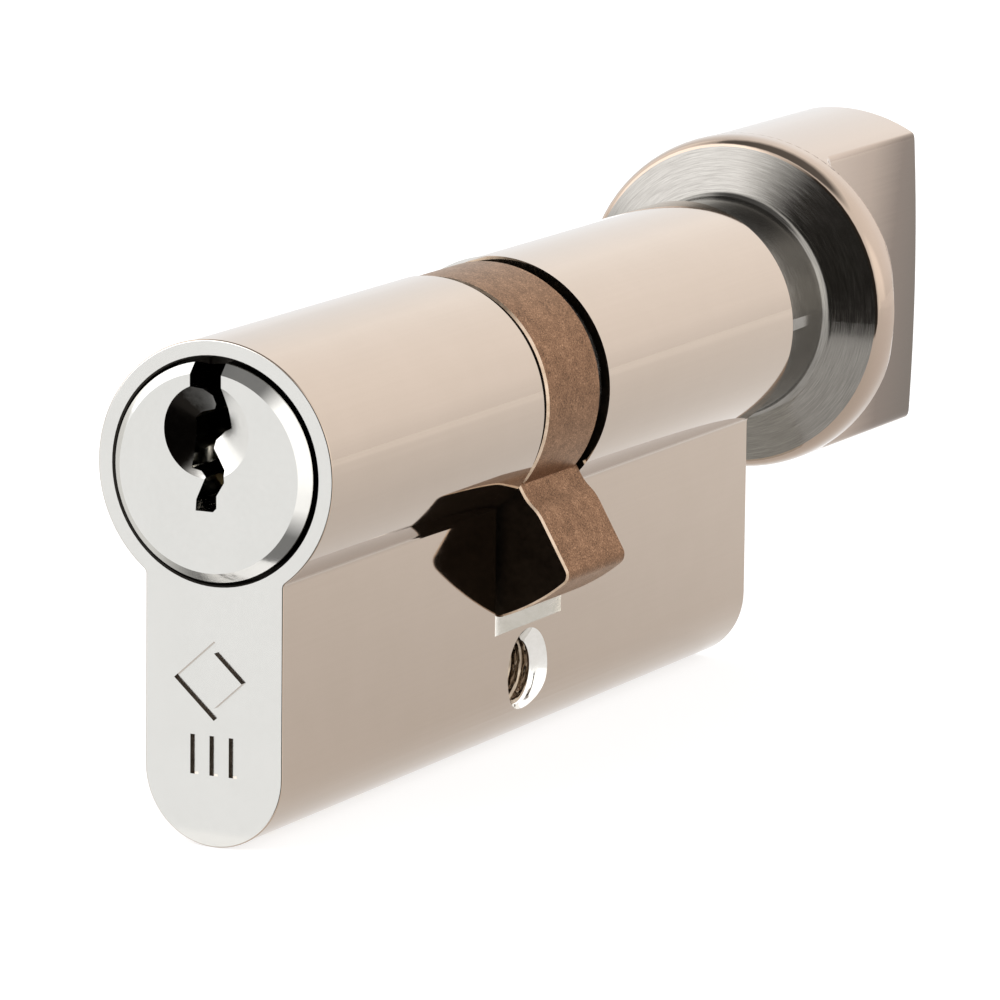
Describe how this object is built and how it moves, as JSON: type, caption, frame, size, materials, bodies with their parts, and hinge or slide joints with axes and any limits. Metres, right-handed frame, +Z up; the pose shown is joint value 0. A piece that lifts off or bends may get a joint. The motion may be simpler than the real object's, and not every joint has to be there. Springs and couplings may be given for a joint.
{
  "type": "euro cylinder with thumbturn",
  "caption": "Euro-profile door lock cylinder: keyed plug at one end, thumbturn at the other, and a cam lobe in the middle that throws the lock's bolt.",
  "frame": {"origin": "on the barrel's axis at the middle of the cam slot, straight above the fixing-screw hole", "axes": "+Y along the barrel from the keyed face to the thumbturn, +Z up away from the leg that holds the pins, +X to the right seen from the keyed face"},
  "size_m": [0.0244, 0.0989, 0.0367],
  "materials": {
    "polished_nickel_body": "polished nickel plate over brass",
    "polished_nickel_plug": "polished nickel plate over brass, finely faced front",
    "polished_nickel_knob": "polished nickel plate, lathe-brushed front face",
    "sintered_bronze": "matt sintered bronze with fine grain",
    "machined_brass": "machined",
    "hardened_steel": "ground, hardened",
    "spring_wire": "drawn stainless wire and strip"
  },
  "bodies": {
    "cylinder_body": {"body": "polished_nickel_body", "chamber_plug_1": "machined_brass", "chamber_plug_2": "machined_brass", "chamber_plug_3": "machined_brass", "chamber_plug_4": "machined_brass", "chamber_plug_5": "machined_brass", "pin_spring_1": "spring_wire", "pin_spring_2": "spring_wire", "pin_spring_3": "spring_wire", "pin_spring_4": "spring_wire", "pin_spring_5": "spring_wire", "body_drill_pin_left": "hardened_steel", "body_drill_pin_right": "hardened_steel"},
    "key_side_plug": {"key_plug": "polished_nickel_plug", "plug_circlip": "spring_wire", "plug_drill_pin_left": "hardened_steel", "plug_drill_pin_right": "hardened_steel"},
    "cam_ring": {"cam": "sintered_bronze"},
    "clutch_slider": {"clutch": "hardened_steel"},
    "thumbturn": {"turn_spindle": "machined_brass", "turn_knob": "polished_nickel_knob", "knob_grub_screw": "hardened_steel", "spindle_circlip": "spring_wire", "clutch_spring": "spring_wire"},
    "lifting_key_pin_1": {"key_pin_1": "machined_brass"},
    "lifting_driver_pin_1": {"driver_pin_1": "hardened_steel"},
    "lifting_key_pin_2": {"key_pin_2": "machined_brass"},
    "lifting_driver_pin_2": {"driver_pin_2": "hardened_steel"},
    "lifting_key_pin_3": {"key_pin_3": "machined_brass"},
    "lifting_driver_pin_3": {"driver_pin_3": "hardened_steel"},
    "lifting_key_pin_4": {"key_pin_4": "machined_brass"},
    "lifting_driver_pin_4": {"driver_pin_4": "hardened_steel"},
    "lifting_key_pin_5": {"key_pin_5": "machined_brass"},
    "lifting_driver_pin_5": {"driver_pin_5": "hardened_steel"}
  },
  "joints": [
    {"name": "key_turn", "type": "hinge", "parent": "cylinder_body", "child": "key_side_plug", "pos_m": [0, 0, 0], "axis": [0, 1, 0], "range_deg": [-360, 360]},
    {"name": "thumbturn_turn", "type": "hinge", "parent": "cylinder_body", "child": "thumbturn", "pos_m": [0, 0, 0], "axis": [0, 1, 0], "continuous": true},
    {"name": "cam_turn", "type": "hinge", "parent": "cylinder_body", "child": "cam_ring", "pos_m": [0, 0, 0], "axis": [0, 1, 0], "continuous": true},
    {"name": "clutch_slide", "type": "slide", "parent": "cam_ring", "child": "clutch_slider", "axis": [0, 1, 0], "range_m": [0, 0.0016], "stiffness_N_per_m": 150, "springref_m": -0.001, "deforming": ["clutch_spring"]},
    {"name": "driver_pin_lift_1", "type": "slide", "parent": "cylinder_body", "child": "lifting_driver_pin_1", "axis": [0, 0, 1], "range_m": [-0.0012, 0.0018], "stiffness_N_per_m": 60, "springref_m": 0.0035, "deforming": ["pin_spring_1"]},
    {"name": "key_pin_lift_1", "type": "slide", "parent": "key_side_plug", "child": "lifting_key_pin_1", "axis": [0, 0, 1], "range_m": [-0.0012, 0.0018]},
    {"name": "driver_pin_lift_2", "type": "slide", "parent": "cylinder_body", "child": "lifting_driver_pin_2", "axis": [0, 0, 1], "range_m": [-0.0012, 0.0018], "stiffness_N_per_m": 60, "springref_m": 0.0035, "deforming": ["pin_spring_2"]},
    {"name": "key_pin_lift_2", "type": "slide", "parent": "key_side_plug", "child": "lifting_key_pin_2", "axis": [0, 0, 1], "range_m": [-0.0012, 0.0018]},
    {"name": "driver_pin_lift_3", "type": "slide", "parent": "cylinder_body", "child": "lifting_driver_pin_3", "axis": [0, 0, 1], "range_m": [-0.0012, 0.0018], "stiffness_N_per_m": 60, "springref_m": 0.0035, "deforming": ["pin_spring_3"]},
    {"name": "key_pin_lift_3", "type": "slide", "parent": "key_side_plug", "child": "lifting_key_pin_3", "axis": [0, 0, 1], "range_m": [-0.0012, 0.0018]},
    {"name": "driver_pin_lift_4", "type": "slide", "parent": "cylinder_body", "child": "lifting_driver_pin_4", "axis": [0, 0, 1], "range_m": [-0.0012, 0.0018], "stiffness_N_per_m": 60, "springref_m": 0.0035, "deforming": ["pin_spring_4"]},
    {"name": "key_pin_lift_4", "type": "slide", "parent": "key_side_plug", "child": "lifting_key_pin_4", "axis": [0, 0, 1], "range_m": [-0.0012, 0.0018]},
    {"name": "driver_pin_lift_5", "type": "slide", "parent": "cylinder_body", "child": "lifting_driver_pin_5", "axis": [0, 0, 1], "range_m": [-0.0012, 0.0018], "stiffness_N_per_m": 60, "springref_m": 0.0035, "deforming": ["pin_spring_5"]},
    {"name": "key_pin_lift_5", "type": "slide", "parent": "key_side_plug", "child": "lifting_key_pin_5", "axis": [0, 0, 1], "range_m": [-0.0012, 0.0018]}
  ],
  "couplings": [
    {"joint": "cam_turn", "follows": "thumbturn_turn", "ratio": 1},
    {"joint": "key_pin_lift_1", "follows": "driver_pin_lift_1", "ratio": 1},
    {"joint": "key_pin_lift_2", "follows": "driver_pin_lift_2", "ratio": 1},
    {"joint": "key_pin_lift_3", "follows": "driver_pin_lift_3", "ratio": 1},
    {"joint": "key_pin_lift_4", "follows": "driver_pin_lift_4", "ratio": 1},
    {"joint": "key_pin_lift_5", "follows": "driver_pin_lift_5", "ratio": 1}
  ]
}
